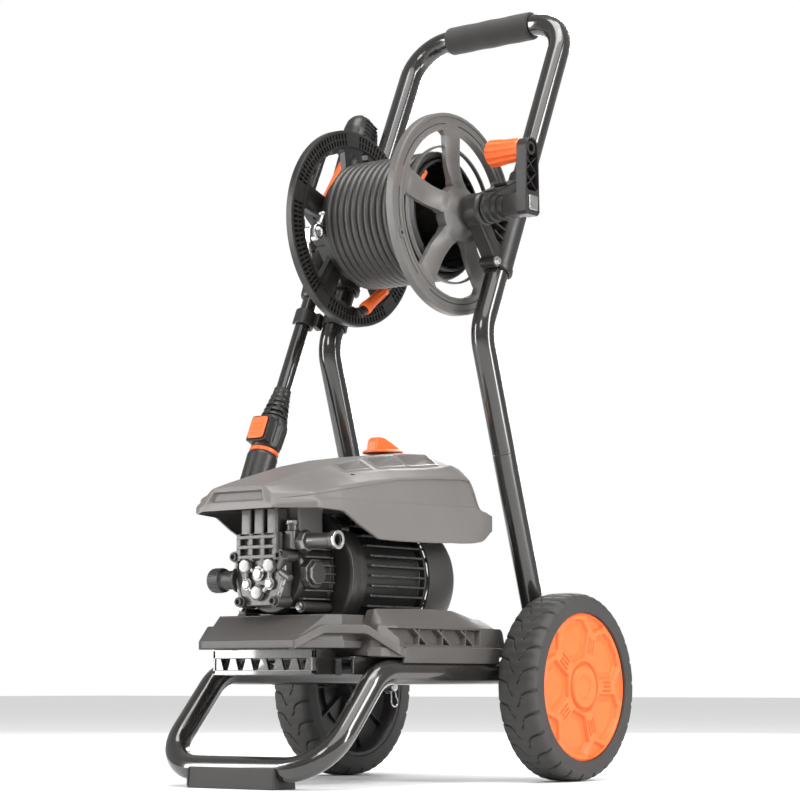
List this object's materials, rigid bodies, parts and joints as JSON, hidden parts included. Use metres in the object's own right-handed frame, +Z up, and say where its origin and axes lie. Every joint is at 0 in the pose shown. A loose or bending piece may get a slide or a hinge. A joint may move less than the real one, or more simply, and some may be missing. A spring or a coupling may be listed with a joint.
{
  "type": "pressure washer",
  "caption": "Wheeled electric pressure washer: bent-tube cart, finned motor and plunger pump under a hood, hose reel with crank, and a spray gun and lance held at the side.",
  "frame": {"origin": "centre of the footprint box on the ground", "axes": "+X to the right-hand side where the crank is, +Y to the rear where the user stands, +Z up"},
  "size_m": [0.4046, 0.536, 0.9996],
  "materials": {
    "frame_paint": "warm charcoal gloss powder coat",
    "foam": "matte closed-cell foam",
    "tyre_rubber": "matte moulded tread",
    "black_plastic": "satin moulded black",
    "orange_plastic": "satin moulded orange",
    "hood_plastic": "satin warm grey",
    "deck_plastic": "satin dark grey",
    "cast_metal": "dark painted casting",
    "motor_paint": "black paint",
    "cover_plastic": "satin grey",
    "bright_steel": "plated",
    "core_iron": "windings and laminations",
    "hose_rubber": "satin dark hose"
  },
  "bodies": {
    "frame": {"base_tube": "frame_paint", "handle_tube": "frame_paint", "upright_left": "frame_paint", "upright_right": "frame_paint", "axle_sleeve_left": "frame_paint", "axle_sleeve_right": "frame_paint", "axle_left": "bright_steel", "axle_right": "bright_steel", "axle_clip_left": "bright_steel", "axle_clip_right": "bright_steel", "foam_grip": "foam", "front_foot": "black_plastic", "deck": "deck_plastic", "motor_tray": "frame_paint", "motor_front_bell": "cast_metal", "motor_housing": "motor_paint", "stator": "core_iron", "fan_cover": "cover_plastic", "crankcase": "cast_metal", "pump_head": "cast_metal", "water_inlet": "black_plastic", "pump_outlet": "cast_metal", "pressure_switch_box": "cover_plastic", "hood": "hood_plastic", "switch_body": "black_plastic", "reel_bracket_left": "black_plastic", "reel_bracket_right": "black_plastic", "reel_swivel": "bright_steel", "lance_clip": "black_plastic"},
    "wheel_left": {"tyre_left": "tyre_rubber", "rim_left": "black_plastic", "hub_disc_left": "orange_plastic"},
    "wheel_right": {"tyre_right": "tyre_rubber", "rim_right": "black_plastic", "hub_disc_right": "orange_plastic"},
    "motor_shaft": {"rotor": "bright_steel", "cooling_fan": "cover_plastic", "swash_plate": "bright_steel"},
    "plunger_one": {"plunger_1": "bright_steel"},
    "plunger_two": {"plunger_2": "bright_steel"},
    "plunger_three": {"plunger_3": "bright_steel"},
    "power_switch": {"switch_knob": "orange_plastic"},
    "reel": {"reel_core": "black_plastic", "reel_flange_left": "black_plastic", "reel_flange_right": "hood_plastic", "reel_shaft": "bright_steel", "crank_arm": "black_plastic", "crank_screw": "bright_steel", "hose_winding": "hose_rubber", "hose_bend_protector": "orange_plastic", "hose_fitting": "black_plastic"},
    "grip": {"crank_grip": "orange_plastic"},
    "gun": {"gun_body": "black_plastic", "lance_tube": "black_plastic", "coupling_collar": "black_plastic"},
    "nozzle": {"nozzle_barrel": "black_plastic"},
    "gun_trigger": {"trigger": "orange_plastic"},
    "gun_lock": {"trigger_lock": "orange_plastic"},
    "coupling_button": {"release_button": "orange_plastic"}
  },
  "joints": [
    {"name": "wheel_left_spin", "type": "hinge", "parent": "frame", "child": "wheel_left", "pos_m": [-0.175, 0.154, 0.114], "axis": [1, 0, 0], "continuous": true},
    {"name": "wheel_right_spin", "type": "hinge", "parent": "frame", "child": "wheel_right", "pos_m": [0.175, 0.154, 0.114], "axis": [1, 0, 0], "continuous": true},
    {"name": "motor_spin", "type": "hinge", "parent": "frame", "child": "motor_shaft", "pos_m": [0, -0.056, 0.243], "axis": [0, 1, 0], "continuous": true},
    {"name": "plunger_one_stroke", "type": "slide", "parent": "frame", "child": "plunger_one", "axis": [0, -1, 0], "range_m": [0, 0.0035], "stiffness_N_per_m": 400},
    {"name": "plunger_two_stroke", "type": "slide", "parent": "frame", "child": "plunger_two", "axis": [0, -1, 0], "range_m": [0, 0.0035], "stiffness_N_per_m": 400},
    {"name": "plunger_three_stroke", "type": "slide", "parent": "frame", "child": "plunger_three", "axis": [0, -1, 0], "range_m": [0, 0.0035], "stiffness_N_per_m": 400},
    {"name": "switch_turn", "type": "hinge", "parent": "frame", "child": "power_switch", "pos_m": [0, 0.012, 0.404], "axis": [0, 0, 1], "range_deg": [0, 90]},
    {"name": "reel_spin", "type": "hinge", "parent": "frame", "child": "reel", "pos_m": [0, 0.0495, 0.6949], "axis": [1, 0, 0], "continuous": true},
    {"name": "crank_grip_spin", "type": "hinge", "parent": "reel", "child": "grip", "pos_m": [0.16, 0.0495, 0.7629], "axis": [1, 0, 0], "continuous": true},
    {"name": "gun_lift", "type": "slide", "parent": "frame", "child": "gun", "axis": [0, 0.4009, 0.9161], "range_m": [0, 0.09]},
    {"name": "nozzle_twist", "type": "hinge", "parent": "gun", "child": "nozzle", "pos_m": [-0.155, -0.04696, 0.37064], "axis": [0, 0.4009, 0.9161], "range_deg": [0, 90]},
    {"name": "trigger_pull", "type": "hinge", "parent": "gun", "child": "gun_trigger", "pos_m": [-0.155, 0.13099, 0.80472], "axis": [1, 0, 0], "range_deg": [0, 10], "stiffness_Nm_per_rad": 0.6},
    {"name": "trigger_lock_slide", "type": "slide", "parent": "gun", "child": "gun_lock", "axis": [0, 0.4009, 0.9161], "range_m": [0, 0.01]},
    {"name": "release_button_press", "type": "slide", "parent": "gun", "child": "coupling_button", "axis": [0, 0.9161, -0.4009], "range_m": [0, 0.0025], "stiffness_N_per_m": 400}
  ]
}
